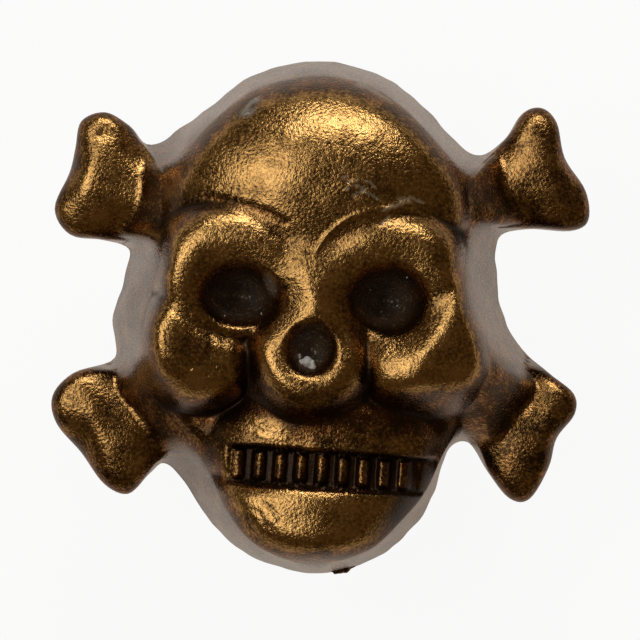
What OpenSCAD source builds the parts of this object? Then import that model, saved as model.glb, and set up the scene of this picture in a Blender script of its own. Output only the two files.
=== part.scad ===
// Skull rivet: a small screw-back rivet for leather and fabric.
// The cast head shows a skull over crossed bones and carries a hollow post on
// its flat back. A slotted screw goes into the post from behind and clamps the
// sheet between its own head and the back of the casting.
// Z is the post axis and the skull looks along +Z. +Y is the crown of the skull.
// The back of the casting lies on z = 0. All lengths are in millimetres.

/* [Casting] */
// Width over the four bone ends
overall_w = 15; // [12:0.5:20]
// Height of the nose, the highest place, above the back
relief_h = 6; // [5:0.1:8]
// Height of the bone knuckles above the back
bone_h = 3; // [2.2:0.1:3.6]
// Thickness of the thin edge under the bone ends
edge_t = 0.35; // [0.2:0.05:0.8]
// Radius of the rounding along the upper edge of the bones
bone_round = 0.3; // [0.2:0.05:0.6]
// Drop of the face to its shoulder, where the steep sides start
shoulder_drop = 0.5; // [0.2:0.05:0.8]

/* [Face] */
// Depth of the eye sockets below the surface around them
socket_depth = 2; // [0.8:0.1:2.2]
// Depth of the nose opening
nose_depth = 1.2; // [0.5:0.1:1.6]
// Height of the band that holds the teeth
mouth_h = 1; // [0.7:0.05:1.3]
// Depth of the tooth gaps below the tooth faces
tooth_relief = 0.26; // [0.1:0.02:0.5]
// Spacing of the teeth
tooth_pitch = 0.574; // [0.45:0.01:0.8]
// Width of the gap between two teeth
tooth_gap = 0.26; // [0.12:0.02:0.32]

/* [Post] */
// Outer diameter of the post, which fits the punched hole
post_d = 4.5; // [4:0.1:5.5]
// Length of the post behind the casting
grip = 3; // [2:0.5:6]
// Depth of the threaded hole above the back plane
hole_over = 1.8; // [1.2:0.1:2.2]

/* [Screw] */
// Outer diameter of the screw thread
thread_d = 3; // [2.5:0.1:3.2]
// Length of thread above the back plane when it is tight
thread_over = 1; // [0.6:0.1:1.1]
// Diameter of the screw head
head_d = 8; // [6.5:0.1:10]
// Height of the screw head
head_h = 1.3; // [1:0.1:2]
// Width of the driver slot
slot_w = 0.9; // [0.6:0.1:1.2]
// Depth of the driver slot
slot_depth = 0.6; // [0.3:0.1:0.8]

/* [Fits] */
// Radial gap between the screw thread and the post's hole
thread_gap = 0.05; // [0.03:0.01:0.1]

/* [Hidden] */
// The plan of the casting is drawn on a square grid, u to the right and v down,
// with 541 units over the bone ends and the post axis at (320, 316).
unit = overall_w / 541;
axis_uv = [320, 316];
// Heights of the relief are drawn for a nose of 6 mm and scaled from there.
hs = relief_h / 6;
// Lengths of the relief are drawn for a width of 15 mm and scaled from there.
ls = overall_w / 15;
// Middle of the face, where the rings of the surface start
mid_uv = [312, 290];
// Rings from the middle to the shoulder, and from the shoulder to the outline
face_rings = 24;
wall_rings = 7;
// Share of the way to the shoulder at which the face starts to roll over
roll_from = 0.88;
hole_d = thread_d + 2 * thread_gap;
sink = 0.4;
// How far a cut reaches past the face it opens
overcut = 1;

brass = [0.62, 0.45, 0.2];
steel = [0.6, 0.52, 0.32];

// Each station pairs a place on the outline with the place on the shoulder of
// the skull above it: [outline u, outline v, shoulder u, shoulder v, steps].
// They run clockwise from the crown, through the bones and round the jaw.
stations = [
    [312, 58, 312, 78, 3],
    [362, 65, 358, 84, 3],
    [408, 88, 398, 106, 3],
    [446, 126, 434, 142, 3],
    [478, 153, 458, 172, 2],
    [506, 138, 464, 184, 2],
    [524, 112, 466, 190, 2],
    [543, 107, 467, 196, 2],
    [558, 122, 468, 201, 2],
    [566, 157, 469, 206, 2],
    [587, 190, 469, 211, 2],
    [590, 220, 469, 216, 2],
    [573, 230, 469, 221, 2],
    [530, 228, 468, 227, 2],
    [501, 237, 467, 237, 3],
    [499, 270, 464, 264, 3],
    [503, 305, 467, 302, 3],
    [520, 344, 483, 340, 2],
    [550, 373, 489, 360, 2],
    [575, 394, 489, 369, 2],
    [576, 415, 486, 378, 2],
    [558, 439, 481, 386, 2],
    [550, 468, 477, 395, 2],
    [531, 500, 472, 403, 2],
    [511, 500, 466, 411, 2],
    [490, 474, 460, 420, 2],
    [470, 444, 455, 432, 3],
    [449, 453, 442, 455, 3],
    [433, 500, 424, 492, 4],
    [410, 535, 397, 523, 4],
    [376, 562, 368, 548, 4],
    [330, 576, 324, 562, 4],
    [284, 572, 288, 558, 4],
    [240, 553, 251, 538, 4],
    [207, 522, 226, 506, 4],
    [184, 486, 212, 474, 3],
    [163, 465, 196, 450, 2],
    [147, 476, 184, 436, 2],
    [127, 495, 176, 426, 2],
    [103, 485, 169, 417, 2],
    [80, 454, 164, 409, 2],
    [55, 424, 160, 402, 2],
    [51, 396, 156, 394, 2],
    [72, 373, 151, 385, 2],
    [112, 358, 146, 366, 3],
    [110, 320, 144, 330, 3],
    [122, 275, 156, 285, 3],
    [126, 248, 163, 252, 2],
    [100, 239, 163, 240, 2],
    [68, 234, 162, 232, 2],
    [53, 208, 162, 225, 2],
    [68, 172, 162, 218, 2],
    [74, 147, 163, 211, 2],
    [80, 120, 164, 203, 2],
    [104, 111, 166, 194, 2],
    [128, 124, 169, 185, 2],
    [150, 143, 175, 172, 3],
    [195, 114, 208, 128, 3],
    [250, 73, 255, 92, 3]
];

// Plan position of a grid point
function plan(u, v) = [(u - axis_uv[0]) * unit, (axis_uv[1] - v) * unit];

// Closed smooth curve through the stations, read at place t after station i
function curve(a, b, c, d, t) =
    0.5 * (2 * b + (c - a) * t + (2 * a - 5 * b + 4 * c - d) * t * t
    + (3 * b - 3 * c + d - a) * t * t * t);
function pick(i, k) =
    let (s = stations[(i + len(stations)) % len(stations)])
    k == 0 ? plan(s[0], s[1]) : plan(s[2], s[3]);
function loop(k) = [
    for (i = [0 : len(stations) - 1])
        for (j = [0 : stations[i][4] - 1])
            curve(pick(i - 1, k), pick(i, k), pick(i + 1, k), pick(i + 2, k), j / stations[i][4])
];

// Distance from (x, y) to an oval's middle, 1 on its rim, turned by a degrees
function oval(x, y, u, v, ru, rv, a = 0) =
    let (
        c = plan(u, v),
        dx = x - c[0],
        dy = y - c[1],
        p = (dx * cos(a) + dy * sin(a)) / (ru * unit),
        q = (dy * cos(a) - dx * sin(a)) / (rv * unit)
    )
    sqrt(p * p + q * q);

// Distance along and across a line drawn from one grid point to another
function along(x, y, a, b) =
    let (e = (b - a) / norm(b - a))
    [(x - a[0]) * e[0] + (y - a[1]) * e[1], (y - a[1]) * e[0] - (x - a[0]) * e[1], norm(b - a)];

function total(v, i = 0) = i < len(v) ? v[i] + total(v, i + 1) : 0;
// Largest of several heights with the meeting lines rounded over about k
function blend(k, v) =
    let (m = max(v))
    m + k * ln(total([for (q = v) exp((q - m) / k)]));
function clamp(t) = max(0, min(1, t));
// Smooth step from 0 at a to 1 at b
function ramp(a, b, t) =
    let (c = clamp((t - a) / (b - a)))
    c * c * (3 - 2 * c);
function bell(t, at, w) = exp(-pow((t - at) / w, 2));

// Fall of a slope that starts where t, the distance inside an edge, goes below 0
function edge(t, slope, w) = slope * w * ln(1 + exp(max(-60, min(60, -t / w))));
// Distance to the left of the line from one grid point to another
function beside(x, y, u0, v0, u1, v1) = along(x, y, plan(u0, v0), plan(u1, v1))[1] / ls;

// Height of the face above the back, without the mouth band
function face(x, y) =
    let (
        eye_l = oval(x, y, 233, 279, 76, 72, 8),
        eye_r = oval(x, y, 391, 284, 80, 74, -4),
        hole_l = oval(x, y, 241, 296, 39, 30, -8),
        hole_r = oval(x, y, 387, 300, 37, 33),
        side = pow((x - plan(325, 0)[0]) / ls, 2),
        upper = y > plan(0, 186)[1],
        crown = 5.86 - 1.85 * pow(oval(x, y, 328, 186, 166, upper ? 120 : 108), 2.5),
        brow_l = 5.74 - 0.55 * pow(eye_l, 9),
        brow_r = 5.82 - 0.6 * pow(eye_r, 9) - edge((plan(436, 0)[0] - x) / ls, 0.34, 0.2),
        cheek_l = 5.64 - 0.5 * pow(oval(x, y, 190, 345, 42, 42), 5) - 0.24 * (x - plan(165, 0)[0]) / ls,
        under_l = 5.34 - 0.8 * pow(oval(x, y, 199, 358, 60, 46, -14), 4.5),
        fold = beside(x, y, 440, 318, 408, 386),
        cheek_r = 5.76 - (fold > 0 ? 0.22 : 0.3) * sqrt(fold * fold + 0.03)
            - edge(beside(x, y, 376, 388, 490, 384), 2, 0.16)
            - edge(beside(x, y, 364, 325, 378, 390), 1.6, 0.13)
            - edge(-beside(x, y, 365, 318, 470, 300), 0.6, 0.2)
            - edge(beside(x, y, 484, 384, 480, 330), 1.6, 0.2),
        nose = 5.84 - 0.55 * pow(oval(x, y, 308, 363, 57, 51), 5)
            - 0.22 * ramp(1.7, 0.7, oval(x, y, 309, 339, 29, 30)),
        bridge = 5.82 - 0.7 * pow(oval(x, y, 312, 300, 66, 96, -5), 2.8),
        jaw = 4.95 - 0.07 * side - pow(oval(x, y, 322, 455, 130, 85), 6),
        chin_x = abs(x - plan(314, 0)[0]) / (106 * unit),
        chin_y = abs(y - plan(0, 518)[1]) / (48 * unit),
        chin = 5.4 - 0.96 * pow(chin_x, 2.2) - 1.2 * pow(chin_y, 5),
        bowl = max(ramp(1.95, 0.8, hole_l), ramp(1.95, 0.8, hole_r)),
        orbits = blend(0.05, [crown, brow_l, brow_r, cheek_l, under_l, cheek_r, bridge]) - 0.36 * bowl,
        rim = blend(0.12, [3.8, blend(0.08, [orbits, nose, jaw, chin])]),
        lip = 0.05 * bell(eye_r, 1, 0.03) * ramp(0, 0.6, (y - plan(0, 262)[1]) / ls)
    )
    (rim + lip) * hs
    - socket_depth * pow(ramp(1.25, 0, hole_l), 1.2)
    - socket_depth * pow(ramp(1.25, 0, hole_r), 1.2)
    - nose_depth * pow(ramp(1.3, 0, oval(x, y, 311, 348, 24, 25)), 1.2);

// Knuckles at the four bone ends: [u, v, radius u, radius v, height to bone_h]
knuckles = [
    [538, 136, 30, 32, 0], [562, 204, 34, 32, -0.1], [560, 400, 30, 34, -0.3], [522, 468, 34, 34, -0.2],
    [124, 462, 34, 34, -0.2], [80, 400, 34, 34, -0.1], [82, 206, 34, 34, -0.2], [104, 140, 30, 34, -0.1]
];
// Bone shafts: [from, to, half width, height to bone_h]
shafts = [
    [[320, 250], [550, 172], 44, 0], [[320, 360], [540, 436], 44, -0.2],
    [[320, 360], [102, 430], 46, -0.2], [[320, 250], [92, 176], 44, 0]
];
function knuckle(x, y, k) = bone_h + k[4] - 0.3 * pow(oval(x, y, k[0], k[1], k[2], k[3]), 2.4);
function shaft(x, y, s) =
    let (
        r = along(x, y, plan(s[0][0], s[0][1]), plan(s[1][0], s[1][1])),
        over = max(0, r[0] - r[2]) / (26 * unit)
    )
    bone_h + s[3] - 0.75 * pow(abs(r[1]) / (s[2] * unit), 2.2) - over * over - (r[0] < 0 ? 9 : 0);
function bones(x, y) =
    max(1.2, blend(0.28, [for (k = knuckles) knuckle(x, y, k), for (s = shafts) shaft(x, y, s)]) - 0.2);

// Shortest distance from p to the outline
function leg(p, a, b) =
    let (e = b - a, t = clamp(((p - a) * e) / (e * e)))
    norm(p - a - t * e);
function inset(p, o) = min([for (j = [0 : len(o) - 1]) leg(p, o[j], o[(j + 1) % len(o)])]);

// Height on the side of the casting, s from 0 at the shoulder to 1 at the outline
function side_height(s, p, i, o, outline) =
    let (
        reach = ramp(1.1 * ls, 1.7 * ls, norm(o - i)),
        wall = (face(i[0], i[1]) - shoulder_drop) * (1 - pow(s, 1.15)),
        d = clamp(inset(p, outline) / bone_round),
        bone = bones(p[0], p[1]) - bone_round * (1 - sqrt(1 - (1 - d) * (1 - d)))
    )
    s == 1 ? edge_t * reach + 0.02 : max(wall, bone * reach, 0.02);

// A cell of the surface cut along the diagonal whose ends are nearer in height
function split(p, a, b, c, d) =
    abs(p[a][2] - p[d][2]) < abs(p[b][2] - p[c][2])
    ? [[a, c, d], [a, d, b]]
    : [[a, c, b], [b, c, d]];

// The relief as one closed surface: face rings, side rings, edge and flat back
module relief() {
    outer = loop(0);
    inner = loop(1);
    n = len(outer);
    c = plan(mid_uv[0], mid_uv[1]);
    middle = [c[0], c[1], face(c[0], c[1])];
    rings_f = [
        for (k = [1 : face_rings])
            for (j = [0 : n - 1])
                let (
                    p = c + (inner[j] - c) * k / face_rings,
                    near_edge = clamp((k / face_rings - roll_from) / (1 - roll_from))
                )
                [p[0], p[1], face(p[0], p[1]) - shoulder_drop * pow(near_edge, 2.2)]
    ];
    rings_w = [
        for (k = [1 : wall_rings])
            for (j = [0 : n - 1])
                let (
                    s = 1 - pow(1 - k / wall_rings, 1.5),
                    p = inner[j] + (outer[j] - inner[j]) * s
                )
                [p[0], p[1], side_height(s, p, inner[j], outer[j], outer)]
    ];
    rim_b = [for (p = outer) [p[0], p[1], 0]];
    inner_b = [for (p = inner) [p[0], p[1], 0]];
    points = concat([middle], rings_f, rings_w, rim_b, inner_b, [[c[0], c[1], 0]]);
    rows = face_rings + wall_rings + 2;
    last = len(points) - 1;
    faces = concat(
        [for (j = [0 : n - 1]) [0, 1 + j, 1 + (j + 1) % n]],
        [
            for (i = [0 : rows - 2])
                for (j = [0 : n - 1])
                    let (a = 1 + i * n + j, b = 1 + i * n + (j + 1) % n)
                    each split(points, a, b, a + n, b + n)
        ],
        [for (j = [0 : n - 1]) [last, 1 + (rows - 1) * n + (j + 1) % n, 1 + (rows - 1) * n + j]]
    );
    polyhedron(points = points, faces = faces);
}

// Band recessed for the teeth. Its floor and the tooth faces curve with the jaw.
jaw_r = 5.9 * ls;
band_w = 5.7 * ls;
floor_z = 4.5 * hs;
teeth = floor((band_w + tooth_gap) / tooth_pitch);
tooth_w = tooth_pitch - tooth_gap;
tooth_end = 0.06;
module mouth() {
    c = plan(331.5, 469);
    translate([c[0], c[1], 0])
        rotate([0, 0, -4])
            difference() {
                translate([-band_w / 2, -mouth_h / 2, floor_z - 1.2])
                    cube([band_w, mouth_h, 4]);
                translate([0, -mouth_h, floor_z - jaw_r])
                    rotate([-90, 0, 0])
                        cylinder(r = jaw_r, h = 2 * mouth_h, $fn = 96);
                intersection() {
                    translate([0, -mouth_h, floor_z - jaw_r])
                        rotate([-90, 0, 0])
                            cylinder(r = jaw_r + tooth_relief, h = 2 * mouth_h, $fn = 96);
                    union() {
                        for (i = [0 : teeth - 1])
                            translate([(i - (teeth - 1) / 2) * tooth_pitch, 0, relief_h])
                                cube([tooth_w, mouth_h - 2 * tooth_end, 2 * relief_h], center = true);
                    }
                }
            }
}

// Remainder of the casting gate at the back edge under the chin
module gate_nub() {
    translate([0.36 * ls, -7.27 * ls, 0.04])
        cube([0.62 * ls, 0.5 * ls, 0.26]);
}

module skull_head() {
    color(brass)
        difference() {
            union() {
                difference() {
                    relief();
                    mouth();
                }
                gate_nub();
                translate([0, 0, -grip])
                    cylinder(d = post_d, h = grip + sink, $fn = 64);
            }
            translate([0, 0, -grip - overcut])
                cylinder(d = hole_d, h = grip + overcut + hole_over, $fn = 64);
        }
}

// Bevels of the screw's tip, of its head's rim above and of the rim below
tip_bevel = thread_d / 12;
top_bevel = 0.15;
rim_bevel = 0.3;
module back_screw() {
    color(steel)
        difference() {
            union() {
                translate([0, 0, -grip])
                    cylinder(d = thread_d, h = grip + thread_over - tip_bevel, $fn = 64);
                translate([0, 0, thread_over - tip_bevel])
                    cylinder(d1 = thread_d, d2 = thread_d - 2 * tip_bevel, h = tip_bevel, $fn = 64);
                translate([0, 0, -grip - top_bevel])
                    cylinder(d1 = head_d, d2 = head_d - 2 * top_bevel, h = top_bevel, $fn = 96);
                translate([0, 0, -grip - head_h + rim_bevel])
                    cylinder(d = head_d, h = head_h - rim_bevel - top_bevel, $fn = 96);
                translate([0, 0, -grip - head_h])
                    cylinder(d1 = head_d - 2 * rim_bevel, d2 = head_d, h = rim_bevel, $fn = 96);
            }
            translate([-head_d / 2 - overcut, -slot_w / 2, -grip - head_h - overcut])
                cube([head_d + 2 * overcut, slot_w, overcut + slot_depth]);
        }
}

skull_head();
back_screw();
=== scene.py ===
import math

import bmesh
import bpy
import numpy as np
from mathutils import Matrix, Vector


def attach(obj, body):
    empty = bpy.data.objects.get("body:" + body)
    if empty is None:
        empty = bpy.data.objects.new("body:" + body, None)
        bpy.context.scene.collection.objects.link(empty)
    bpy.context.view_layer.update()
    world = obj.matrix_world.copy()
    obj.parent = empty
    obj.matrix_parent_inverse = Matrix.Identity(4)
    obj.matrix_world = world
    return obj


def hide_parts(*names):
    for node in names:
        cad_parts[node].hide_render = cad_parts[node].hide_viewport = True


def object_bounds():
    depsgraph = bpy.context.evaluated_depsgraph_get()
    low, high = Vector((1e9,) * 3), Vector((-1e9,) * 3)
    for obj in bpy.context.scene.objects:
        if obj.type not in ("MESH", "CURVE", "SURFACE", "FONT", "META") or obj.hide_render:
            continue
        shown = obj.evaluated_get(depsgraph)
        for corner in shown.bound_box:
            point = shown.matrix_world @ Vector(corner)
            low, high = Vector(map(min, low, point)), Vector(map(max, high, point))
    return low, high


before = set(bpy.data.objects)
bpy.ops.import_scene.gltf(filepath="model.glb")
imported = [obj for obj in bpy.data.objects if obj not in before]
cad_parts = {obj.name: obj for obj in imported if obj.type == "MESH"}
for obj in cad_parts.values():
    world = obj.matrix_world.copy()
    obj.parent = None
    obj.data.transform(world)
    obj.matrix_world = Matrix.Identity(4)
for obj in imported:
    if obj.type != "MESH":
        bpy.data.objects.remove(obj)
cad_box = [list(corner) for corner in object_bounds()]

# Cast head: surface

# The head is one zinc casting. Its face, bones, flat back and hollow post are
# one surface, made of rings that run from the middle of the face over the
# shoulder to the outline, along the back, down the post and into its hole.

MM = 0.001
WIDTH_MM = 15.0
UNIT = WIDTH_MM / 541
AXIS_U, AXIS_V = 320, 316
FACE_RINGS = 100
SIDE_RINGS = 26
STEP_FACTOR = 3
JAW_STATIONS = range(26, 36)
EDGE_MM = 0.35
BONE_MM = 3.0
BONE_ROUND_MM = 0.3
SHOULDER_MM = 0.5

# outline u, v, shoulder u, v and steps, clockwise from the crown
STATIONS = [
    (312, 58, 312, 78, 3), (362, 65, 358, 84, 3), (408, 88, 398, 106, 3),
    (446, 126, 434, 142, 3), (478, 153, 458, 172, 2), (506, 138, 464, 184, 2),
    (524, 112, 466, 190, 2), (543, 107, 467, 196, 2), (558, 122, 468, 201, 2),
    (566, 157, 469, 206, 2), (587, 190, 469, 211, 2), (590, 220, 469, 216, 2),
    (573, 230, 469, 221, 2), (530, 228, 468, 227, 2), (501, 237, 467, 237, 3),
    (499, 270, 464, 264, 3), (503, 305, 467, 302, 3), (520, 344, 483, 340, 2),
    (550, 373, 489, 360, 2), (575, 394, 489, 369, 2), (576, 415, 486, 378, 2),
    (558, 439, 481, 386, 2), (550, 468, 477, 395, 2), (531, 500, 472, 403, 2),
    (511, 500, 466, 411, 2), (490, 474, 460, 420, 2), (470, 444, 455, 432, 3),
    (449, 453, 442, 455, 3), (433, 500, 424, 492, 4), (410, 535, 397, 523, 4),
    (376, 562, 368, 548, 4), (330, 576, 324, 562, 4), (284, 572, 288, 558, 4),
    (240, 553, 251, 538, 4), (207, 522, 226, 506, 4), (184, 486, 212, 474, 3),
    (163, 465, 196, 450, 2), (147, 476, 184, 436, 2), (127, 495, 176, 426, 2),
    (103, 485, 169, 417, 2), (80, 454, 164, 409, 2), (55, 424, 160, 402, 2),
    (51, 396, 156, 394, 2), (72, 373, 151, 385, 2), (112, 358, 146, 366, 3),
    (110, 320, 144, 330, 3), (122, 275, 156, 285, 3), (126, 248, 163, 252, 2),
    (100, 239, 163, 240, 2), (68, 234, 162, 232, 2), (53, 208, 162, 225, 2),
    (68, 172, 162, 218, 2), (74, 147, 163, 211, 2), (80, 120, 164, 203, 2),
    (104, 111, 166, 194, 2), (128, 124, 169, 185, 2), (150, 143, 175, 172, 3),
    (195, 114, 208, 128, 3), (250, 73, 255, 92, 3),
]


def plan(u, v):
    """Place in millimetres of a point of the drawing grid."""
    return np.array([(u - AXIS_U) * UNIT, (AXIS_V - v) * UNIT])


def smooth_loops(factor, jaw_factor):
    """Closed smooth curves through the outline and through the shoulder."""
    rim = np.array([plan(s[0], s[1]) for s in STATIONS])
    shoulder = np.array([plan(s[2], s[3]) for s in STATIONS])
    count = len(STATIONS)
    loops = []
    for points in (rim, shoulder):
        parts = []
        for i, station in enumerate(STATIONS):
            steps = station[4] * factor * (jaw_factor if i in JAW_STATIONS else 1)
            t = (np.arange(steps) / steps)[:, None]
            a, b = points[i - 1], points[i]
            c, d = points[(i + 1) % count], points[(i + 2) % count]
            parts.append(
                0.5 * (2 * b + (c - a) * t + (2 * a - 5 * b + 4 * c - d) * t**2
                       + (3 * b - 3 * c + d - a) * t**3)
            )
        loops.append(np.vstack(parts))
    return loops


def right_of(x, u):
    """Millimetres to the right of a line of the drawing grid."""
    return x - (u - AXIS_U) * UNIT


def above(y, v):
    """Millimetres above a line of the drawing grid."""
    return y - (AXIS_V - v) * UNIT


def oval(x, y, u, v, ru, rv, turn=0):
    """Distance from an oval's middle, 1 on its rim."""
    cx, cy = plan(u, v)
    cos, sin = math.cos(math.radians(turn)), math.sin(math.radians(turn))
    p = ((x - cx) * cos + (y - cy) * sin) / (ru * UNIT)
    q = ((y - cy) * cos - (x - cx) * sin) / (rv * UNIT)
    return np.sqrt(p * p + q * q)


def along(x, y, start, end):
    """Distances along and across a line between two grid points, and its length."""
    a, b = plan(*start), plan(*end)
    length = np.hypot(*(b - a))
    e = (b - a) / length
    return ((x - a[0]) * e[0] + (y - a[1]) * e[1],
            (y - a[1]) * e[0] - (x - a[0]) * e[1], length)


def merge_domes(width, domes):
    """Highest of several domes, with the lines where they meet rounded over."""
    top = np.max(domes, axis=0)
    return top + width * np.log(sum(np.exp((d - top) / width) for d in domes))


def ramp(start, end, t):
    """Smooth step from 0 at the start to 1 at the end."""
    s = np.clip((t - start) / (end - start), 0, 1)
    return s * s * (3 - 2 * s)


def bell(t, middle, width):
    """Rounded rise of 1 at the middle."""
    return np.exp(-(((t - middle) / width) ** 2))


def lattice_noise(x, y, size, seed):
    """Smooth fixed noise from -1 to 1, with bumps about size millimetres apart."""
    gx, gy = x / size + 1000, y / size + 1000
    ix, iy = np.floor(gx), np.floor(gy)
    fx, fy = gx - ix, gy - iy
    fx, fy = fx * fx * (3 - 2 * fx), fy * fy * (3 - 2 * fy)

    def corner(i, j):
        h = np.sin(i * 127.1 + j * 311.7 + seed * 74.7) * 43758.5453
        return (h - np.floor(h)) * 2 - 1

    low = corner(ix, iy) * (1 - fx) + corner(ix + 1, iy) * fx
    high = corner(ix, iy + 1) * (1 - fx) + corner(ix + 1, iy + 1) * fx
    return low * (1 - fy) + high * fy


def edge(t, slope, width=0.06):
    """Falls away at a slope where t, the distance inside an edge, is below 0."""
    return slope * width * np.log1p(np.exp(np.clip(-t / width, -60, 60)))


# ovals on the drawing grid: middle u, v, half widths and turn in degrees
SOCKET_L, SOCKET_R, NOSTRIL = (241, 296, 39, 30, -8), (387, 300, 37, 33), (311, 348, 24, 25)
CROWN, CROWN_BELOW = (328, 186, 166, 120), (328, 186, 166, 132)
BROW_L, BROW_R = (232, 273, 71, 67, -14), (391, 279, 80, 69, -4)
CHEEK_L, CHEEK_L_RIM, UNDER_L = (190, 340, 42, 47), (193, 344, 27, 27), (199, 350, 60, 54, -14)
NOSE, NOSE_TIP, BRIDGE = (308, 363, 57, 51), (309, 339, 29, 30), (312, 300, 66, 96, -5)
JAW, CHIN = (322, 455, 130, 85), (310, 518, 106, 48)
# lines from one grid point to another along which a form falls away or folds
NOSE_SIDE, MOUTH = ((248, 330), (284, 404)), ((331.5, 469), (431.5, 476))
CHEEK_R_FOLD, CHEEK_R_FOOT = ((440, 318), (408, 386)), ((376, 388), (490, 384))
CHEEK_R_INNER, CHEEK_R_TOP = ((364, 325), (378, 390)), ((365, 318), (470, 300))
CHEEK_R_OUTER = ((484, 384), (480, 330))
# single lines across the grid
MIDLINE_U, BROW_R_SIDE_U, CHEEK_L_SIDE_U = 325, 436, 165
BROW_FOOT_V, CHEEK_TOP_V, SOCKET_V, LIP_V = 336, 302, 298, 262


def openings(x, y):
    """Left socket, right socket and nose opening, each 1 on its rim."""
    return oval(x, y, *SOCKET_L), oval(x, y, *SOCKET_R), oval(x, y, *NOSTRIL)


# heights of the tops of the forms above the flat back, in millimetres
CROWN_MM, BROW_L_MM, BROW_R_MM, BRIDGE_MM, NOSE_MM = 5.86, 5.74, 5.79, 5.82, 5.84
CHEEK_L_MM, UNDER_L_MM, CHEEK_R_MM, JAW_MM, CHIN_MM = 5.67, 5.34, 5.84, 4.95, 5.40
PLATE_MM = 3.8
SOCKET_DEPTH, NOSE_DEPTH, BOWL_DEPTH = 2.0, 1.2, 0.36
BAND_FLOOR_MM, BAND_HALF, BAND_LEFT, BAND_RIGHT = 4.50, 0.54, -3.0, 2.94
TOOTH_PITCH, TOOTH_MM, TEETH = 0.574, 0.26, 10


def face_height(x, y):
    """Height of the face above the flat back."""
    eye_l, eye_r = oval(x, y, *BROW_L), oval(x, y, *BROW_R)
    hole_l, hole_r, hole_n = openings(x, y)
    mid = right_of(x, MIDLINE_U)
    dome = np.where(above(y, CROWN[1]) > 0, oval(x, y, *CROWN), oval(x, y, *CROWN_BELOW))
    crown = CROWN_MM - 1.85 * dome**2.5
    under = 0.17 * ramp(0, (BROW_FOOT_V - CHEEK_TOP_V) * UNIT, -above(y, CHEEK_TOP_V))
    brow_l = BROW_L_MM - 0.55 * eye_l**7 - 0.6 * under
    brow_r = (BROW_R_MM - 0.6 * eye_r**6.5 - under
              - edge(-right_of(x, BROW_R_SIDE_U), 0.34, 0.2))
    cheek_l = (CHEEK_L_MM - 0.5 * oval(x, y, *CHEEK_L) ** 4
               - 0.24 * right_of(x, CHEEK_L_SIDE_U)
               + 0.06 * bell(oval(x, y, *CHEEK_L_RIM), 1.0, 0.14)
               * (right_of(x, CHEEK_L_RIM[0]) > 0))
    under_l = UNDER_L_MM - 0.8 * oval(x, y, *UNDER_L) ** 4.5
    fold = along(x, y, *CHEEK_R_FOLD)[1]
    cheek_r = (CHEEK_R_MM - np.where(fold > 0, 0.22, 0.27) * np.sqrt(fold**2 + 0.03)
               - edge(along(x, y, *CHEEK_R_FOOT)[1], 2.0, 0.16)
               - edge(along(x, y, *CHEEK_R_INNER)[1], 1.6, 0.13)
               - edge(-along(x, y, *CHEEK_R_TOP)[1], 0.6, 0.2)
               - edge(along(x, y, *CHEEK_R_OUTER)[1], 1.6, 0.2))
    nose = (NOSE_MM - 0.55 * oval(x, y, *NOSE) ** 4.4
            - 0.22 * ramp(1.7, 0.7, oval(x, y, *NOSE_TIP))
            - edge(along(x, y, *NOSE_SIDE)[1], 0.9, 0.13))
    bridge = BRIDGE_MM - 0.7 * oval(x, y, *BRIDGE) ** 2.8
    jaw = JAW_MM - 0.07 * mid**2 - oval(x, y, *JAW) ** 6
    chin_x = right_of(x, CHIN[0]) / (CHIN[2] * UNIT)
    chin_y = above(y, CHIN[1]) / (CHIN[3] * UNIT)
    chin = CHIN_MM - 1.2 * np.abs(chin_x) ** 2.2 - 1.2 * np.abs(chin_y) ** 5
    bowl = np.maximum(ramp(1.95, 0.8, hole_l), ramp(1.95, 0.8, hole_r))
    bowl = bowl * (1 - 0.5 * ramp(-0.2, 0.7, above(y, SOCKET_V)))
    upper = merge_domes(0.07, [crown, brow_l, brow_r, cheek_l, under_l, cheek_r, bridge])
    top = merge_domes(0.13, [upper - BOWL_DEPTH * bowl, nose, jaw, chin])
    height = merge_domes(0.12, [PLATE_MM + 0 * x, top])
    # the lip above the right brow
    height = height + 0.05 * bell(eye_r, 1.0, 0.03) * ramp(0, 0.6, above(y, LIP_V))
    # the band with the teeth
    u, v = along(x, y, *MOUTH)[:2]
    band = (ramp(BAND_HALF, BAND_HALF - 0.07, np.abs(v)) * ramp(BAND_RIGHT, BAND_RIGHT - 0.14, u)
            * ramp(BAND_LEFT, BAND_LEFT + 0.6, u))
    place = (u / TOOTH_PITCH) % 1.0
    tooth = np.sqrt(np.clip(1 - (np.abs(place - 0.5) / 0.33) ** 2, 0, 1))
    tooth = tooth * ramp(BAND_HALF - 0.09, BAND_HALF - 0.18, np.abs(v))
    tooth = tooth * (np.abs(u) < TEETH / 2 * TOOTH_PITCH)
    # the teeth get lower to the right
    tall = TOOTH_MM - 0.18 * ramp(1.0, 2.9, u)
    mouth = BAND_FLOOR_MM - 0.085 * mid**2 + tall * tooth
    height = height * (1 - band) + np.minimum(height, mouth) * band
    # eye sockets and nose opening
    height = height - SOCKET_DEPTH * ramp(1.25, 0.0, hole_l) ** 1.2
    height = height - SOCKET_DEPTH * ramp(1.25, 0.0, hole_r) ** 1.2
    return height - NOSE_DEPTH * ramp(1.3, 0.0, hole_n) ** 1.2


# knobs of the bones: grid u, v and half widths, and rise in millimetres
KNUCKLES = [
    (538, 136, 30, 32, 0), (562, 204, 34, 32, -0.1), (560, 400, 30, 34, -0.3),
    (522, 468, 34, 34, -0.2), (124, 462, 34, 34, -0.2), (80, 400, 34, 34, -0.1),
    (82, 206, 34, 34, -0.2), (104, 140, 30, 34, -0.1),
]
# shafts: start and end on the grid, half width there, and rise in millimetres
SHAFTS = [
    ((320, 250), (550, 172), 44, 0), ((320, 360), (540, 436), 44, -0.2),
    ((320, 360), (102, 430), 46, -0.2), ((320, 250), (92, 176), 44, 0),
]
SHAFT_END_PX = 26
BONE_LOW_MM = 1.2


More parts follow.
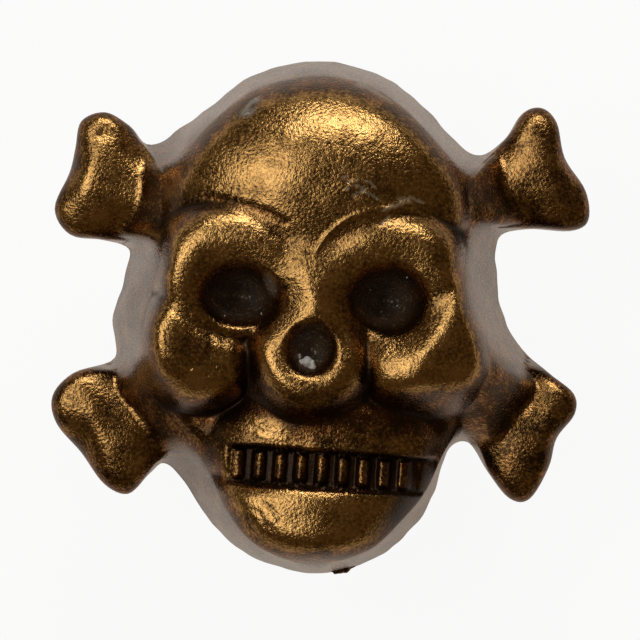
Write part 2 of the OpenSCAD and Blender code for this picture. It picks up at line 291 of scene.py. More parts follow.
def bone_height(x, y):
    """Height of the crossed bones above the flat back."""
    domes = [BONE_MM + lift - 0.3 * oval(x, y, u, v, ru, rv) ** 2.4
             for u, v, ru, rv, lift in KNUCKLES]
    for start, end, half, lift in SHAFTS:
        t, q, length = along(x, y, start, end)
        over = np.maximum(0, t - length) / (SHAFT_END_PX * UNIT)
        domes.append(BONE_MM + lift - 0.75 * np.abs(q / (half * UNIT)) ** 2.2 - over**2
                     - 9 * (t < 0))
    return np.maximum(BONE_LOW_MM, merge_domes(0.28, domes) - 0.2)


def inset(x, y, outline):
    """Distance inside the outline, and the direction straight in from it."""
    best = np.full(np.shape(x), 9.0)
    inside = np.ones(np.shape(x))
    inward = np.zeros((len(x), 2))
    for a, b in zip(outline, np.roll(outline, -1, axis=0)):
        e = (b - a) / np.hypot(*(b - a))
        t = (x - a[0]) * e[0] + (y - a[1]) * e[1]
        t = np.clip(t, 0, np.hypot(*(b - a)))
        far = np.hypot(x - a[0] - t * e[0], y - a[1] - t * e[1])
        closer = far < best
        best = np.where(closer, far, best)
        side = np.sign((y - a[1]) * e[0] - (x - a[0]) * e[1])
        inside = np.where(closer, -side, inside)
        inward[closer] = (e[1], -e[0])
    return best * inside, inward


rim, shoulder = smooth_loops(STEP_FACTOR, 2)
spokes = len(rim)
FACE_MIDDLE = (312, 290)
middle = plan(*FACE_MIDDLE)
SHOULDER_FROM = 0.88
RAGGED_MM, STREAK_MM = 0.035, 0.045
rings = []
zones = []
FACE, BONE, SIDE, BACK, HOLE = range(5)

for k in range(1, FACE_RINGS + 1):
    t = k / FACE_RINGS
    p = middle + (shoulder - middle) * t
    drop = SHOULDER_MM * max(0, (t - SHOULDER_FROM) / (1 - SHOULDER_FROM)) ** 2.2
    rings.append(np.c_[p, face_height(p[:, 0], p[:, 1]) - drop])
    zones.append(np.full(spokes, FACE))

shoulder_height = face_height(shoulder[:, 0], shoulder[:, 1]) - SHOULDER_MM
span = np.hypot(*(rim - shoulder).T)
reach = ramp(1.1, 1.7, span)
outward = (rim - shoulder) / span[:, None]
# the parting line leaves the skull's outline a little ragged
ragged = RAGGED_MM * lattice_noise(rim[:, 0], rim[:, 1], 0.4, 7) * (1 - reach)
rim = rim + outward * ragged[:, None]


def between(s, rough):
    """Ring part of the way from the shoulder to the outline, and its depth inside."""
    p = shoulder + (rim - shoulder) * s
    streak = rough * math.sin(math.pi * s) * lattice_noise(p[:, 0], p[:, 1], 0.45, 5)
    p = p + outward * streak[:, None]
    # a ring that would run outside a bone's neck is moved back in
    depth, inward = inset(p[:, 0], p[:, 1], rim)
    least = BONE_ROUND_MM * (1 - s) * reach
    p = p + inward * np.maximum(0, least - depth)[:, None] * (s < 1)
    return p, np.maximum(depth, least)


for k in range(1, SIDE_RINGS + 1):
    s = 1 - (1 - k / SIDE_RINGS) ** 1.5
    p, depth = between(s, STREAK_MM)
    wall = shoulder_height * (1 - s**1.15)
    d = np.clip(depth / BONE_ROUND_MM, 0, 1)
    bone = bone_height(p[:, 0], p[:, 1]) - BONE_ROUND_MM * (1 - np.sqrt(1 - (1 - d) ** 2))
    z = np.maximum(wall, bone * reach) if k < SIDE_RINGS else EDGE_MM * reach + 0.02
    rings.append(np.c_[p, z])
    zones.append(np.where(bone * reach > wall + 0.02, BONE, SIDE))

for s in (1, 0.9, 0.75, 0.6, 0.45, 0.3, 0.15, 0):
    rings.append(np.c_[between(s, 0)[0], np.zeros(spokes)])
    zones.append(np.full(spokes, BACK))

# post: fillet at the back, chamfered end, hole with a drilled tip
POST_R, HOLE_R, GRIP = 2.25, 1.7, 3.0
HOLE_TOP, DRILL_TIP = 1.5, 2.1
bearing = np.arctan2(shoulder[:, 1], shoulder[:, 0])
for radius, z, zone in (
    (POST_R + 0.2, 0, BACK), (POST_R + 0.06, -0.05, BACK), (POST_R, -0.2, BACK),
    (POST_R, -GRIP + 0.12, BACK), (POST_R - 0.04, -GRIP + 0.03, BACK),
    (POST_R - 0.1, -GRIP, BACK), (HOLE_R + 0.08, -GRIP, BACK),
    (HOLE_R, -GRIP + 0.12, HOLE), (HOLE_R, HOLE_TOP, HOLE),
    (HOLE_R - 0.2, HOLE_TOP + 0.12, HOLE),
):
    rings.append(np.c_[radius * np.cos(bearing), radius * np.sin(bearing),
                       np.full(spokes, float(z))])
    zones.append(np.full(spokes, zone))

points = np.vstack([[[*middle, face_height(*middle)]], *rings, [[0, 0, DRILL_TIP]]])
zone = np.concatenate([[FACE], *zones, [HOLE]])
faces = [(0, 1 + (j + 1) % spokes, 1 + j) for j in range(spokes)]
for i in range(len(rings) - 1):
    for j in range(spokes):
        a, b = 1 + i * spokes + j, 1 + i * spokes + (j + 1) % spokes
        faces.append((a, b, b + spokes, a + spokes))
tip = len(points) - 1
faces += [(tip, tip - spokes + j, tip - spokes + (j + 1) % spokes) for j in range(spokes)]

# the cast surface is never quite even
x, y = points[:, 0].copy(), points[:, 1].copy()
uneven = (0.012 * lattice_noise(x, y, 0.9, 1) + 0.006 * lattice_noise(x, y, 0.35, 2)
          + 0.003 * lattice_noise(x, y, 0.15, 3))
points[:, 2] += np.where(zone == FACE, uneven, np.where(zone == BONE, 0.5 * uneven, 0))

# cracks and scratches: grid points along each, width and height in millimetres
NICKS = [
    (((208, 197), (228, 201), (248, 207), (268, 213), (288, 224)), 0.07, -0.07),
    (((212, 193), (232, 197), (250, 202)), 0.05, 0.05),
    (((358, 86), (372, 91), (388, 101)), 0.05, -0.04),
    (((361, 82), (376, 88), (390, 97)), 0.05, 0.04),
    (((343, 178), (352, 187), (362, 190)), 0.04, -0.035),
    (((352, 198), (362, 191), (378, 201)), 0.04, -0.035),
    (((346, 192), (357, 182)), 0.04, 0.03), (((366, 184), (376, 190)), 0.04, 0.03),
    (((384, 212), (396, 206), (408, 204)), 0.05, 0.04),
    (((398, 201), (410, 199), (422, 205)), 0.05, -0.04), (((388, 219), (380, 226)), 0.05, -0.03),
    (((244, 116), (250, 106), (258, 102)), 0.06, -0.05),
    (((250, 116), (258, 110)), 0.06, -0.04), (((225, 142), (231, 150)), 0.05, -0.03),
    (((254, 420), (266, 428), (282, 430)), 0.05, 0.03),
    (((258, 432), (270, 436), (286, 438)), 0.05, 0.03),
    (((252, 506), (262, 513), (266, 524)), 0.05, -0.03),
    (((262, 500), (274, 507), (280, 519)), 0.05, -0.03),
    (((268, 522), (276, 529)), 0.05, -0.03), (((247, 517), (253, 530)), 0.05, -0.03),
    (((100, 136), (104, 130), (109, 134)), 0.12, -0.06),
]
WANDER_MM = 0.03


def nicks(x, y):
    """Height of the small cracks, burrs and scratches."""
    x, y = (x + WANDER_MM * lattice_noise(x, y, 0.11, 11),
            y + WANDER_MM * lattice_noise(x, y, 0.11, 12))
    total = 0 * x
    for path, width, height in NICKS:
        nearest = np.full(np.shape(x), 9.0)
        for start, end in zip(path, path[1:]):
            t, q, length = along(x, y, start, end)
            nearest = np.minimum(nearest, np.hypot(q, np.maximum(np.maximum(-t, t - length), 0)))
        total = total + height * np.exp(-((nearest / width) ** 2))
    return total


points[:, 2] += np.where((zone == FACE) | (zone == BONE), nicks(x, y), 0)
points = np.clip(points, np.array(cad_box[0]) / MM, np.array(cad_box[1]) / MM)

head_mesh = bpy.data.meshes.new("cast_head")
head_mesh.from_pydata((points * MM).tolist(), [], faces)
head_mesh.validate()
cast_head = bpy.data.objects.new("cast_head", head_mesh)
bpy.context.scene.collection.objects.link(cast_head)
head_mesh.shade_smooth()

# Cast head: antique brass

# Brass plating blackened in a bath and then tumbled. The high places are rubbed
# back to brass, and the recesses and the steep sides keep the dark film.

# how bare the plating is: on level ground, at most, and on the other surfaces
BARE_MEAN, BARE_MOST = 0.56, 0.8
BARE_BONE, BARE_SIDE, BARE_BACK, BARE_HOLE, BARE_STUB, BARE_SCREW = 0.62, 0.1, 0.45, 0.2, 0.1, 0.62
# what stands proud of its surroundings is barer: reach in millimetres and gain
RUB_REACH = ((0.25, 1.4), (0.6, 0.8), (1.2, 0.4))
GROOVE_REACH_MM = 0.16
# ovals on the drawing grid that are barer, darker or greyer than their height tells: the nose
# flank and jaw patch are painted highlights, the cheek disc painted shade, the socket sheen a
# painted reflection
NOSE_FLANK_HIGHLIGHT, NOSE_PIT, SOCKET_SHEEN = (270, 362, 11, 38, 25), (241, 357, 13, 22), (271, 285, 8, 16, 20)
UPPER_JAW, JAW_HIGHLIGHT = (330, 438, 125, 52, -2), (268, 427, 26, 13, -20)
CHEEK_SHADE_DISC = (195, 346, 23, 23)
# scratches above the low line are painted pale as glints, but those left of the first line and
# below the second, just over the left brow, are dark
SCRATCH_U, SCRATCH_V, SCRATCH_LOW_V = 335, 160, 230


def proud(x, y, radius):
    """How far the face stands above its surroundings at a distance, in millimetres."""
    ring = [face_height(x + radius * math.cos(a), y + radius * math.sin(a))
            for a in np.arange(8) * math.pi / 4]
    return face_height(x, y) - np.mean(ring, axis=0)


def rubbed_and_painted_light(x, y, zone, rise):
    """How far the tumbling has bared the plating, from 0 to 1, with painted highlights and shade
    worked in.
    """
    amount = BARE_MEAN + sum(gain * proud(x, y, radius) for radius, gain in RUB_REACH)
    amount = np.clip(amount, 0, BARE_MOST) * ramp(0.42, 0.78, rise)
    for hole in openings(x, y):
        amount = amount * (0.6 * ramp(0.9, 1.15, hole) + 0.4 * ramp(1.0, 1.7, hole))
    # painted highlight: the left flank of the nose, facing the left lamp, is made barer and lighter
    flank_highlight = ramp(1.2, 0.3, oval(x, y, *NOSE_FLANK_HIGHLIGHT))
    amount = amount + 0.25 * flank_highlight
    # the upper jaw lies in the lee of the nose and cheeks; a patch on its left, facing the left
    # lamp, is made barer as a painted highlight
    lee = ramp(1.2, 0.75, oval(x, y, *UPPER_JAW))
    jaw_highlight = ramp(1.0, 0.6, oval(x, y, *JAW_HIGHLIGHT))
    amount = amount - 0.42 * lee + 0.45 * jaw_highlight
    # painted shade: the middle of the left cheek's knob and the right of the chin are made darker;
    # the pit beside the nose is made darker too
    cheek_shade = ramp(1.0, 0.7, oval(x, y, *CHEEK_SHADE_DISC))
    pit = ramp(1.0, 0.5, oval(x, y, *NOSE_PIT))
    amount = amount - 0.3 * cheek_shade - 0.45 * pit - 0.3 * ramp(1.2, 3.2, x) * ramp(-3.8, -4.6, y)
    # burrs are bared and cracks are dark
    scar = nicks(x, y)
    amount = amount + 5 * np.maximum(scar, 0) + 8 * np.minimum(scar, 0)
    # painted shade: the bones are made darker to the right and towards the bottom, and lighter at
    # the upper left
    shade = 0.2 * ramp(0, 5, x) + 0.12 * ramp(0, -4, y) - 0.12 * ramp(-3, -5, x) * ramp(0, 3, y)
    amount = np.where(zone == BONE, (BARE_BONE - shade) * ramp(0.5, 0.85, rise), amount)
    amount = np.where(zone == SIDE, BARE_SIDE * ramp(0.2, 0.6, rise), amount)
    amount = np.where(zone == BACK, BARE_BACK, amount)
    return np.where(zone == HOLE, BARE_HOLE, np.clip(amount, 0, 1))


rise = np.zeros(len(points) * 3)
head_mesh.vertex_normals.foreach_get("vector", rise)
rise = rise.reshape(-1, 3)[:, 2]
# how much brass shows: wear, with painted highlights and shade
rub_and_painted_light = rubbed_and_painted_light(x, y, zone, rise)
dust_and_glints = np.zeros(len(points))
for hole in openings(x, y):
    dust_and_glints = np.maximum(dust_and_glints, 0.85 * ramp(1.0, 0.4, hole))
# painted reflection: a grey sheen painted on the inner wall of the left socket
dust_and_glints = np.maximum(dust_and_glints, 1.8 * ramp(1.1, 0.2, oval(x, y, *SOCKET_SHEEN)))
# painted glints: the scratches on the forehead and above the right brow are painted pale grey
upper = (right_of(x, SCRATCH_U) > 0) | (above(y, SCRATCH_V) > 0)
pale = upper & (above(y, SCRATCH_LOW_V) > 0)
dust_and_glints = dust_and_glints + 1.7 * ramp(0.008, 0.03, np.abs(nicks(x, y))) * pale
dust_and_glints = np.where(zone == FACE, dust_and_glints, 0)
# painted shade: the narrow grooves are given a matt dark brown, and the steep sides of the skull
# look grey
painted_shade = 0.9 * ramp(0.015, 0.06, -proud(x, y, GROOVE_REACH_MM)) * (zone == FACE)
for hole in openings(x, y):
    painted_shade = painted_shade * ramp(1.15, 1.3, hole)
# painted shade: the right shoulder of the chin gets the same matt dark brown
chin_side_shade = ramp(0.9, 0.65, rise) * ramp(1.0, 2.2, x) * ramp(-3.6, -4.4, y) * (zone == FACE)
painted_shade = np.maximum(painted_shade, 0.85 * chin_side_shade)
wall = np.maximum(ramp(0.62, 0.25, rise) * (zone == SIDE), np.clip(dust_and_glints, 0, 0.8))
for label, values in (("rub_and_painted_light", rub_and_painted_light), ("dust_and_glints", dust_and_glints), ("painted_shade", painted_shade), ("wall", wall)):
    layer = head_mesh.attributes.new(label, "FLOAT", "POINT")
    layer.data.foreach_set("value", values.astype(np.float32))


def srgb(text):
    """Linear colour of an sRGB hex value."""
    parts = [int(text[i : i + 2], 16) / 255 for i in (1, 3, 5)]
    return [c / 12.92 if c <= 0.04045 else ((c + 0.055) / 1.055) ** 2.4 for c in parts] + [1.0]


def add(tree, kind, links=None, **settings):
    """Adds a node. A link is a value or the socket that feeds an input."""
    new = tree.nodes.new(kind)
    for name, value in settings.items():
        setattr(new, name, value)
    for key, value in (links or {}).items():
        if isinstance(value, bpy.types.NodeSocket):
            tree.links.new(value, new.inputs[key])
        else:
            new.inputs[key].default_value = value
    return new


# size of the tumbling marks and their depth, of the blotches and of the lint
GRAIN_MM, GRAIN_DEPTH_MM = 0.085, 0.036
MOTTLE_MM, LINT_MM = 0.6, 0.13
# how much the marks and the blotches change how bare the plating is
SPECK, CLOUD = 1.7, 1.2
# sRGB colours of the rubbed brass, of the film left on it, of the dust and painted glints, and
# of the painted shade
BRASS, BRASS_PALE, FILM, FILM_RUDDY = "#ba8b48", "#cda264", "#462e12", "#613712"
PALE_GREY, SHADE_BROWN = "#8f887a", "#2b1c0d"


def antique_brass(name, rub_source):
    """Tumbled antique brass. rub_source is an attribute's name or a fixed amount."""
    material = bpy.data.materials.new(name)
    material.use_nodes = True
    tree = material.node_tree
    shader = tree.nodes["Principled BSDF"]
    shader.inputs["Coat Weight"].default_value = 0.15
    shader.inputs["Coat Roughness"].default_value = 0.3
    place = add(tree, "ShaderNodeTexCoord").outputs["Object"]
    grain = add(tree, "ShaderNodeTexNoise",
                {"Vector": place, "Scale": 1 / (GRAIN_MM * MM), "Detail": 2.0, "Roughness": 0.6})
    mottle = add(tree, "ShaderNodeTexNoise",
                 {"Vector": place, "Scale": 1 / (MOTTLE_MM * MM), "Detail": 3.0, "Roughness": 0.6})
    if isinstance(rub_source, str):
        rub_and_painted_light = add(tree, "ShaderNodeAttribute", attribute_name=rub_source).outputs["Fac"]
    else:
        rub_and_painted_light = rub_source
    speck = add(tree, "ShaderNodeMath", {0: grain.outputs["Fac"], 1: 0.5},
                operation="SUBTRACT")
    cloud = add(tree, "ShaderNodeMath", {0: mottle.outputs["Fac"], 1: 0.5},
                operation="SUBTRACT")
    level = add(tree, "ShaderNodeMath", {0: speck.outputs[0], 1: SPECK, 2: rub_and_painted_light},
                operation="MULTIPLY_ADD")
    level = add(tree, "ShaderNodeMath", {0: cloud.outputs[0], 1: CLOUD, 2: level.outputs[0]},
                operation="MULTIPLY_ADD")
    bare = add(tree, "ShaderNodeMapRange",
               {"Value": level.outputs[0], "From Min": 0.1, "From Max": 0.9}).outputs[0]
    ruddy = add(tree, "ShaderNodeMapRange", {"Value": mottle.outputs["Fac"], "From Min": 0.42,
                                             "From Max": 0.6}).outputs[0]
    brass = add(tree, "ShaderNodeMix", {0: mottle.outputs["Fac"], 6: srgb(BRASS),
                                        7: srgb(BRASS_PALE)}, data_type="RGBA").outputs[2]
    film = add(tree, "ShaderNodeMix", {0: ruddy, 6: srgb(FILM), 7: srgb(FILM_RUDDY)},
               data_type="RGBA").outputs[2]
    colour = add(tree, "ShaderNodeMix", {0: bare, 6: film, 7: brass},
                 data_type="RGBA").outputs[2]
    # grey polishing dust that stays in the sockets, as a film and as specks, and the same grey as
    # painted glints on scratches and a painted sheen in the left socket
    greyed = add(tree, "ShaderNodeAttribute", attribute_name="dust_and_glints").outputs["Fac"]
    lint = add(tree, "ShaderNodeTexNoise",
               {"Vector": place, "Scale": 1 / (LINT_MM * MM), "Detail": 1.0}).outputs["Fac"]
    fleck = add(tree, "ShaderNodeMapRange", {"Value": lint, "From Min": 0.62, "From Max": 0.68,
                                             "To Min": 0.34}).outputs[0]
    cover = add(tree, "ShaderNodeMath", {0: greyed, 1: fleck}, operation="MULTIPLY",
                use_clamp=True).outputs[0]
    colour = add(tree, "ShaderNodeMix", {0: cover, 6: colour, 7: srgb(PALE_GREY)},
                 data_type="RGBA").outputs[2]
    # painted shade: the grooves and the chin's right shoulder are turned matt dark brown
    shade_level = add(tree, "ShaderNodeAttribute", attribute_name="painted_shade").outputs["Fac"]
    colour = add(tree, "ShaderNodeMix", {0: shade_level, 6: colour, 7: srgb(SHADE_BROWN)},
                 data_type="RGBA").outputs[2]
    tree.links.new(colour, shader.inputs["Base Color"])
    steep = add(tree, "ShaderNodeAttribute", attribute_name="wall").outputs["Fac"]
    least = add(tree, "ShaderNodeMapRange", {"Value": steep, "To Min": 0.93,
                                             "To Max": 0.5}).outputs[0]
    metal = add(tree, "ShaderNodeMapRange",
                {"Value": level.outputs[0], "From Min": 0.0, "From Max": 0.45,
                 "To Min": least}).outputs[0]
    clear = add(tree, "ShaderNodeMath", {0: 1.0, 1: cover}, operation="SUBTRACT").outputs[0]
    metal = add(tree, "ShaderNodeMath", {0: metal, 1: clear}, operation="MULTIPLY").outputs[0]
    tree.links.new(metal, shader.inputs["Metallic"])
    gloss = add(tree, "ShaderNodeMapRange",
                {"Value": grain.outputs["Fac"], "From Min": 0.3, "From Max": 0.7,
                 "To Min": 0.15, "To Max": 0.3}).outputs[0]
    gloss = add(tree, "ShaderNodeMix", {0: shade_level, 2: gloss, 3: 0.5}).outputs[0]
    tree.links.new(gloss, shader.inputs["Roughness"])
    bump = add(tree, "ShaderNodeBump", {"Height": grain.outputs["Fac"], "Strength": 0.6,
                                        "Distance": GRAIN_DEPTH_MM * MM})
    tree.links.new(bump.outputs[0], shader.inputs["Normal"])
    return material


head_metal = antique_brass("antique_brass_tumbled", "rub_and_painted_light")
head_mesh.materials.append(head_metal)
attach(cast_head, "head")
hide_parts("skull_head")

# Gate stub

# The broken-off end of the casting gate at the back edge under the chin. It is
# the same metal, rough, with a dark film that stands in for the shadow under the chin: painted
# shade.

STUB_PLACE = Vector((0.67, -7.02, 0.17))
STUB_HALF = (0.36, 0.2, 0.12)

stub_mesh = bpy.data.meshes.new("gate_stub")
form = bmesh.new()
bmesh.ops.create_icosphere(form, subdivisions=4, radius=1.0)
for vert in form.verts:
    c = vert.co
    lump = 1 + 0.07 * math.sin(7 * c.x + 3 * c.z) + 0.05 * math.sin(13 * c.x - 5 * c.y)
    grown = Vector([half * lump * way for half, way in zip(STUB_HALF, c)])
    vert.co = (STUB_PLACE + grown + Vector((0, 0.1 * c.x, 0))) * MM
form.to_mesh(stub_mesh)
form.free()
gate_stub = bpy.data.objects.new("gate_stub", stub_mesh)
bpy.context.scene.collection.objects.link(gate_stub)
stub_mesh.materials.append(antique_brass("antique_brass_shaded", BARE_STUB))
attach(gate_stub, "head")

# Polishing residue

# Pale crumbs of polishing compound left in the nose opening and the eye sockets.
# Dry and matt, they lie where the photograph shows them.

# grid u, v and radius, and height in millimetres
CRUMBS = [
    (305, 363, 6.5, 0.16), (312, 366, 4.5, 0.12), (300, 356, 2.0, 0.06), (316, 352, 1.8, 0.06),
    (392, 302, 1.4, 0.04), (397, 306, 0.9, 0.03), (381, 312, 0.8, 0.03), (250, 297, 1.3, 0.04),
    (262, 314, 1.0, 0.03), (226, 316, 0.8, 0.03), (370, 290, 0.8, 0.03), (406, 278, 0.9, 0.03),
]
CRUMB_GRAIN_MM = 0.06

crumb_mesh = bpy.data.meshes.new("residue")
form = bmesh.new()
for number, (u, v, radius, tall) in enumerate(CRUMBS):
    cx, cy = plan(u, v)
    cz = face_height(cx, cy)
    made = bmesh.ops.create_icosphere(form, subdivisions=3, radius=1.0)
    for vert in made["verts"]:
        c = vert.co
        lump = 1 + 0.22 * math.sin(3 * c.x + number) + 0.16 * math.sin(5 * c.y + 2 * number + c.z)
        vert.co = Vector((cx + c.x * lump * radius * UNIT, cy + c.y * lump * radius * UNIT * 1.2,
                          cz + c.z * lump * tall)) * MM
form.to_mesh(crumb_mesh)
form.free()
crumb_mesh.shade_smooth()
residue = bpy.data.objects.new("residue", crumb_mesh)
bpy.context.scene.collection.objects.link(residue)
compound = bpy.data.materials.new("polishing_compound")
compound.use_nodes = True
tree = compound.node_tree
chalk = tree.nodes["Principled BSDF"]
place = add(tree, "ShaderNodeTexCoord").outputs["Object"]
crumbly = add(tree, "ShaderNodeTexNoise", {"Vector": place, "Scale": 1 / (CRUMB_GRAIN_MM * MM)})
chalky = add(tree, "ShaderNodeMix", {0: crumbly.outputs["Fac"], 6: srgb("#7d7870"),
                                     7: srgb("#d6d2ca")}, data_type="RGBA").outputs[2]
tree.links.new(chalky, chalk.inputs["Base Color"])
chalk.inputs["Roughness"].default_value = 0.55
compound_bump = add(tree, "ShaderNodeBump", {"Height": crumbly.outputs["Fac"], "Strength": 0.8,
                                             "Distance": 0.02 * MM})
tree.links.new(compound_bump.outputs[0], chalk.inputs["Normal"])
crumb_mesh.materials.append(compound)
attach(residue, "head")

# Threads

# One helical ridge for the screw and one for the post's hole, both cut at a pitch
# of half a millimetre. The ridge is swept along a spiral and fades out at its ends.

PITCH = 0.5
THREAD_TOP = 0.9
SCREW_RIDGE_R, SCREW_RIDGE = 1.27, 0.22
HOLE_RIDGE_R, HOLE_RIDGE = 1.72, 0.15


def thread_rule():
    """Node group that sweeps a ridge of diamond section along a helix."""
    rule = bpy.data.node_groups.new("thread_rule", "GeometryNodeTree")
    sockets = {}
    for name, kind in (("Radius", "NodeSocketFloat"), ("Pitch", "NodeSocketFloat"),
                       ("Turns", "NodeSocketFloat"), ("Depth", "NodeSocketFloat"),
                       ("Start", "NodeSocketFloat"), ("Material", "NodeSocketMaterial")):
        sockets[name] = rule.interface.new_socket(name, in_out="INPUT", socket_type=kind).identifier
    rule.interface.new_socket("Geometry", in_out="OUTPUT", socket_type="NodeSocketGeometry")
    given = add(rule, "NodeGroupInput").outputs
    height = add(rule, "ShaderNodeMath", {0: given["Turns"], 1: given["Pitch"]},
                 operation="MULTIPLY").outputs[0]
    helix = add(rule, "GeometryNodeCurveSpiral",
                {"Resolution": 48, "Rotations": given["Turns"], "Start Radius": given["Radius"],
                 "End Radius": given["Radius"], "Height": height}).outputs[0]
    upright = add(rule, "GeometryNodeSetCurveNormal", {"Curve": helix}, mode="Z_UP").outputs[0]
    part = add(rule, "GeometryNodeSplineParameter").outputs["Factor"]
    fade_in = add(rule, "ShaderNodeMapRange", {"Value": part, "From Max": 0.06,
                                               "To Min": 0.15}).outputs[0]
    fade_out = add(rule, "ShaderNodeMapRange", {"Value": part, "From Min": 0.94, "From Max": 1.0,
                                                "To Min": 1.0, "To Max": 0.15}).outputs[0]
    fade = add(rule, "ShaderNodeMath", {0: fade_in, 1: fade_out}, operation="MINIMUM").outputs[0]
    size = add(rule, "ShaderNodeMath", {0: fade, 1: given["Depth"]},
               operation="MULTIPLY").outputs[0]
    section = add(rule, "GeometryNodeCurvePrimitiveCircle",
                  {"Resolution": 4, "Radius": 1.0}).outputs[0]
    ridge = add(rule, "GeometryNodeCurveToMesh", {"Curve": upright, "Profile Curve": section,
                                                  "Scale": size, "Fill Caps": True}).outputs[0]
    foot = add(rule, "ShaderNodeCombineXYZ", {"Z": given["Start"]}).outputs[0]
    placed = add(rule, "GeometryNodeTransform", {"Geometry": ridge, "Translation": foot}).outputs[0]
    real = add(rule, "GeometryNodeRealizeInstances", {"Geometry": placed}).outputs[0]
    done = add(rule, "GeometryNodeSetMaterial", {"Geometry": real, "Material": given["Material"]})
    add(rule, "NodeGroupOutput", {"Geometry": done.outputs[0]})
    return rule, sockets


def run_rule(name, rule, sockets, values):
    """Plain mesh object with what a node group makes from the given inputs."""
    seed = bpy.data.objects.new(name + "_seed", bpy.data.meshes.new(name + "_seed"))
    bpy.context.scene.collection.objects.link(seed)
    step = seed.modifiers.new("rule", "NODES")
    step.node_group = rule
    for key, value in values.items():
        step[sockets[key]] = value
    seed.update_tag()
    depsgraph = bpy.context.evaluated_depsgraph_get()
    mesh = bpy.data.meshes.new_from_object(seed.evaluated_get(depsgraph), depsgraph=depsgraph)
    seed.modifiers.clear()
    bpy.data.objects.remove(seed)
    made = bpy.data.objects.new(name, mesh)
    bpy.context.scene.collection.objects.link(made)
    return made


screw_metal = antique_brass("antique_brass_screw", BARE_SCREW)
thread, thread_inputs = thread_rule()
screw_turns = (GRIP + THREAD_TOP - 0.35) / PITCH
screw_thread = run_rule("screw_thread", thread, thread_inputs, {
    "Radius": SCREW_RIDGE_R * MM, "Pitch": PITCH * MM, "Turns": screw_turns,
    "Depth": SCREW_RIDGE * MM,
    "Start": (THREAD_TOP - screw_turns * PITCH) * MM, "Material": screw_metal})
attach(screw_thread, "screw")
hole_turns = (GRIP + 1.1) / PITCH
hole_thread = run_rule("hole_thread", thread, thread_inputs, {
    "Radius": HOLE_RIDGE_R * MM, "Pitch": PITCH * MM, "Turns": hole_turns,
    "Depth": HOLE_RIDGE * MM,
    "Start": (-GRIP + 0.2) * MM, "Material": head_metal})
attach(hole_thread, "head")

# Back screw

# The screw that clamps the rivet from behind. Steel turned to shape, its head
# domed a little and slotted, brass plated and blackened like the casting.

SCREW_HEAD_R, SCREW_HEAD_H, SHANK_R, SHANK_END = 4.0, 1.3, 1.26, 1.0
HEAD_ROUND, HEAD_EDGE, BURR = 0.35, 0.15, 0.05
SLOT_W, SLOT_DEPTH = 0.9, 0.6


def lathe(name, profile, count):
    """Closed form turned from radius and height pairs that start and end on the axis."""
    rim = profile[1:-1]
    turn = np.arange(count) * 2 * math.pi / count
    dots = [(0, 0, profile[0][1])]
    for radius, z in rim:
        dots += [(radius * math.cos(a), radius * math.sin(a), z) for a in turn]
    dots.append((0, 0, profile[-1][1]))
    sides = []
    for j in range(count):
        k = (j + 1) % count
        sides.append((0, 1 + k, 1 + j))
        for i in range(len(rim) - 1):
            a, b = 1 + i * count + j, 1 + i * count + k
            sides.append((a, b, b + count, a + count))
        sides.append((len(dots) - 1, len(dots) - 1 - count + j, len(dots) - 1 - count + k))
    mesh = bpy.data.meshes.new(name)
    mesh.from_pydata([[c * MM for c in d] for d in dots], [], sides)
    made = bpy.data.objects.new(name, mesh)
    bpy.context.scene.collection.objects.link(made)
    return made


under = -GRIP - SCREW_HEAD_H
profile = [(0, under), (1.0, under), (2.2, under + 0.01), (3.2, under + 0.05)]
profile += [(SCREW_HEAD_R - HEAD_ROUND + HEAD_ROUND * math.sin(a),
             under + 0.08 + HEAD_ROUND - HEAD_ROUND * math.cos(a))
            for a in np.linspace(0.35, math.pi / 2, 6)]
profile += [(SCREW_HEAD_R - HEAD_EDGE + HEAD_EDGE * math.cos(a),
             -GRIP - HEAD_EDGE + HEAD_EDGE * math.sin(a))
            for a in np.linspace(0, math.pi / 2, 5)]
profile += [(SHANK_R + 0.2, -GRIP), (SHANK_R + 0.06, -GRIP + 0.06), (SHANK_R, -GRIP + 0.2),
            (SHANK_R, SHANK_END - 0.28), (SHANK_R - 0.05, SHANK_END - 0.15),
            (SHANK_R - 0.28, SHANK_END), (0, SHANK_END)]
blank = lathe("screw_blank", profile, 160)
cutter_mesh = bpy.data.meshes.new("slot_cutter")
form = bmesh.new()
bmesh.ops.create_cube(form, size=1.0)
for vert in form.verts:
    vert.co = Vector((vert.co.x * 10, vert.co.y * SLOT_W,
                      under - 0.5 + (vert.co.z + 0.5) * (SLOT_DEPTH + 0.5))) * MM
form.to_mesh(cutter_mesh)
form.free()
cutter = bpy.data.objects.new("slot_cutter", cutter_mesh)
bpy.context.scene.collection.objects.link(cutter)
cut = blank.modifiers.new("slot", "BOOLEAN")
cut.object = cutter
cut.solver = "EXACT"
soft = blank.modifiers.new("burr", "BEVEL")
soft.width = BURR * MM
soft.segments = 2
soft.limit_method = "ANGLE"
soft.angle_limit = math.radians(50)
depsgraph = bpy.context.evaluated_depsgraph_get()
screw_mesh = bpy.data.meshes.new_from_object(blank.evaluated_get(depsgraph), depsgraph=depsgraph)
for spare in (blank, cutter):
    spare.modifiers.clear()
    bpy.data.objects.remove(spare)
slotted_screw = bpy.data.objects.new("slotted_screw", screw_mesh)
bpy.context.scene.collection.objects.link(slotted_screw)
screw_mesh.shade_smooth()
screw_mesh.set_sharp_from_angle(angle=math.radians(35))
screw_mesh.materials.clear()
screw_mesh.materials.append(screw_metal)
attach(slotted_screw, "screw")
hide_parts("back_screw")

# Floor, light and camera

# A white sheet below, one soft lamp on the left, one above the crown, and the
# camera straight over the face at about 20 cm, as in the photograph.

FOOT = (-GRIP - SCREW_HEAD_H - 0.005) * MM
FLOOR_HALF = 0.4
